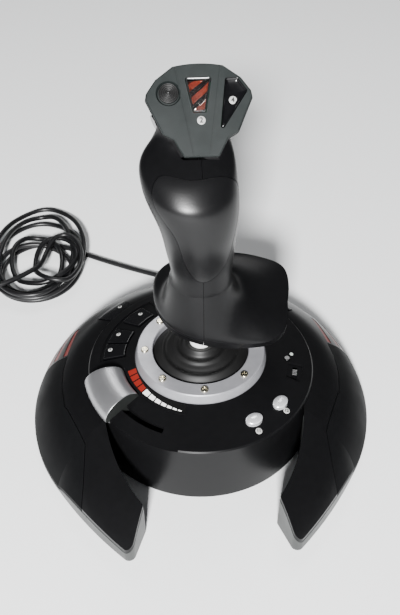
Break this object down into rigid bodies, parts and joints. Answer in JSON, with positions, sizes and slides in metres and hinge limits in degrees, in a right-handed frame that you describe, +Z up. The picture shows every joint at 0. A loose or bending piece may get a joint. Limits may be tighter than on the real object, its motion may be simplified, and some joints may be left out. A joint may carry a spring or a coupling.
{
  "type": "flight joystick",
  "caption": "Desktop flight joystick: self-centring stick with a flared palm rest, twisting grip, trigger, hat, round winged base, throttle lever, keys and a USB cord.",
  "frame": {"origin": "on the desk under the stick's axis, at the bottom of the rubber feet", "axes": "+Z up along the stick at rest, -Y towards the user, +X to the user's right"},
  "size_m": [0.3649, 0.3539, 0.2334],
  "materials": {
    "black_plastic": "satin",
    "silver_grey_plastic": "satin",
    "panel_black": "fine satin",
    "face_grey": "matt",
    "gloss_black": "gloss",
    "red_plastic": "satin",
    "red_print": "printed film",
    "stripe_insert": "printed stripes",
    "clear_lens": "clear gloss",
    "silver_paint": "satin metallic",
    "ring_metal": "satin metallic",
    "oval_silver": "metallised",
    "collar_white": "satin",
    "rubber_black": "matt",
    "cord_black": "satin",
    "screw_steel": "polished",
    "spring_steel": "bright",
    "board_green": "solder mask",
    "inner_plastic": "satin",
    "usb_metal": "nickel",
    "light_lens": "frosted"
  },
  "bodies": {
    "base": {"base_top": "black_plastic", "base_tray": "silver_grey_plastic", "case_screws": "screw_steel", "boot_lower": "rubber_black", "cord_coil": "cord_black", "cord_gland": "cord_black", "cord_lead": "cord_black", "cord_tail": "cord_black", "gills_left": "red_plastic", "gills_right": "red_plastic", "gimbal_frame": "inner_plastic", "key_boards": "board_green", "main_board": "board_green", "panel_left": "panel_black", "panel_right": "panel_black", "pitch_sensor": "inner_plastic", "pitch_spring": "spring_steel", "ring_screws": "screw_steel", "rubber_feet": "rubber_black", "status_light": "light_lens", "throttle_scale": "red_print", "throttle_sensor": "inner_plastic", "trim_ring": "ring_metal", "usb_overmould": "cord_black", "usb_shell": "usb_metal"},
    "gimbal": {"gimbal_yoke": "inner_plastic", "roll_sensor": "inner_plastic", "roll_spring": "spring_steel", "boot_upper": "rubber_black"},
    "stick": {"stick_hub": "inner_plastic", "stick_shaft": "spring_steel", "collar": "collar_white"},
    "grip": {"grip_left_shell": "black_plastic", "grip_right_shell": "black_plastic", "palm_panel": "panel_black", "face_plate": "face_grey", "shell_screws": "screw_steel", "grip_board": "board_green", "trigger_pin": "spring_steel", "twist_sensor": "inner_plastic", "twist_spring": "spring_steel"},
    "trigger": {"trigger": "black_plastic"},
    "hat_rocker": {"hat_rocker": "inner_plastic"},
    "hat": {"hat_cap": "black_plastic"},
    "button_2": {"window_lens": "clear_lens", "window_insert": "stripe_insert"},
    "button_3": {"button_3": "gloss_black"},
    "button_4": {"button_4": "gloss_black"},
    "key_a": {"key_a": "gloss_black"},
    "key_b": {"key_b": "gloss_black"},
    "key_c": {"key_c": "gloss_black"},
    "key_d": {"key_d": "gloss_black"},
    "key_e": {"key_e": "gloss_black"},
    "key_f": {"key_f": "gloss_black"},
    "oval_front": {"oval_front": "oval_silver"},
    "oval_rear": {"oval_rear": "oval_silver"},
    "mapping_button": {"mapping_button": "gloss_black"},
    "mode_switch": {"mode_switch": "gloss_black"},
    "throttle": {"throttle_lever": "silver_paint", "throttle_carrier": "inner_plastic"}
  },
  "joints": [
    {"name": "stick_pitch", "type": "hinge", "parent": "base", "child": "gimbal", "pos_m": [0, 0, 0.038], "axis": [1, 0, 0], "range_deg": [-17, 17], "stiffness_Nm_per_rad": 1.3, "deforming": ["boot_lower", "pitch_spring"]},
    {"name": "stick_roll", "type": "hinge", "parent": "gimbal", "child": "stick", "pos_m": [0, 0, 0.038], "axis": [0, 1, 0], "range_deg": [-17, 17], "stiffness_Nm_per_rad": 1.3, "deforming": ["boot_upper", "roll_spring"]},
    {"name": "grip_twist", "type": "hinge", "parent": "stick", "child": "grip", "pos_m": [0, 0, 0.09], "axis": [0, 0, 1], "range_deg": [-15, 15], "stiffness_Nm_per_rad": 0.5, "deforming": ["twist_spring"]},
    {"name": "trigger_pull", "type": "hinge", "parent": "grip", "child": "trigger", "pos_m": [0.001, 0.03, 0.206], "axis": [-1, 0, 0], "range_deg": [0, 7], "stiffness_Nm_per_rad": 0.06, "springref_deg": -14.32},
    {"name": "hat_tilt_y", "type": "hinge", "parent": "grip", "child": "hat_rocker", "pos_m": [-0.0148, 0.02744, 0.21978], "axis": [1, 0, 0], "range_deg": [-7, 7], "stiffness_Nm_per_rad": 0.01},
    {"name": "hat_tilt_x", "type": "hinge", "parent": "hat_rocker", "child": "hat", "pos_m": [-0.0148, 0.02744, 0.21978], "axis": [0, 0.7193, 0.6947], "range_deg": [-7, 7], "stiffness_Nm_per_rad": 0.01},
    {"name": "button_2_press", "type": "slide", "parent": "grip", "child": "button_2", "axis": [0, 0.6947, -0.7193], "range_m": [0, 0.001], "stiffness_N_per_m": 400, "springref_m": -0.001},
    {"name": "button_3_press", "type": "slide", "parent": "grip", "child": "button_3", "axis": [0.9093, 0.2994, 0.2891], "range_m": [0, 0.001], "stiffness_N_per_m": 400, "springref_m": -0.001},
    {"name": "button_4_press", "type": "slide", "parent": "grip", "child": "button_4", "axis": [0, 0.6947, -0.7193], "range_m": [0, 0.001], "stiffness_N_per_m": 400, "springref_m": -0.001},
    {"name": "key_a_press", "type": "slide", "parent": "base", "child": "key_a", "axis": [0, 0, -1], "range_m": [0, 0.001], "stiffness_N_per_m": 400, "springref_m": -0.001},
    {"name": "key_b_press", "type": "slide", "parent": "base", "child": "key_b", "axis": [0, 0, -1], "range_m": [0, 0.001], "stiffness_N_per_m": 400, "springref_m": -0.001},
    {"name": "key_c_press", "type": "slide", "parent": "base", "child": "key_c", "axis": [0, 0, -1], "range_m": [0, 0.001], "stiffness_N_per_m": 400, "springref_m": -0.001},
    {"name": "key_d_press", "type": "slide", "parent": "base", "child": "key_d", "axis": [0, 0, -1], "range_m": [0, 0.001], "stiffness_N_per_m": 400, "springref_m": -0.001},
    {"name": "key_e_press", "type": "slide", "parent": "base", "child": "key_e", "axis": [0, 0, -1], "range_m": [0, 0.001], "stiffness_N_per_m": 400, "springref_m": -0.001},
    {"name": "key_f_press", "type": "slide", "parent": "base", "child": "key_f", "axis": [0, 0, -1], "range_m": [0, 0.001], "stiffness_N_per_m": 400, "springref_m": -0.001},
    {"name": "oval_front_press", "type": "slide", "parent": "base", "child": "oval_front", "axis": [0, 0, -1], "range_m": [0, 0.001], "stiffness_N_per_m": 400, "springref_m": -0.001},
    {"name": "oval_rear_press", "type": "slide", "parent": "base", "child": "oval_rear", "axis": [0, 0, -1], "range_m": [0, 0.001], "stiffness_N_per_m": 400, "springref_m": -0.001},
    {"name": "mapping_press", "type": "slide", "parent": "base", "child": "mapping_button", "axis": [0, 0, -1], "range_m": [0, 0.0005], "stiffness_N_per_m": 400, "springref_m": -0.001},
    {"name": "mode_slide", "type": "slide", "parent": "base", "child": "mode_switch", "axis": [0.2588, 0.9659, 0], "range_m": [0, 0.0038]},
    {"name": "throttle_turn", "type": "hinge", "parent": "base", "child": "throttle", "pos_m": [0, 0, 0.04], "axis": [0, 0, 1], "range_deg": [0, 32]}
  ]
}
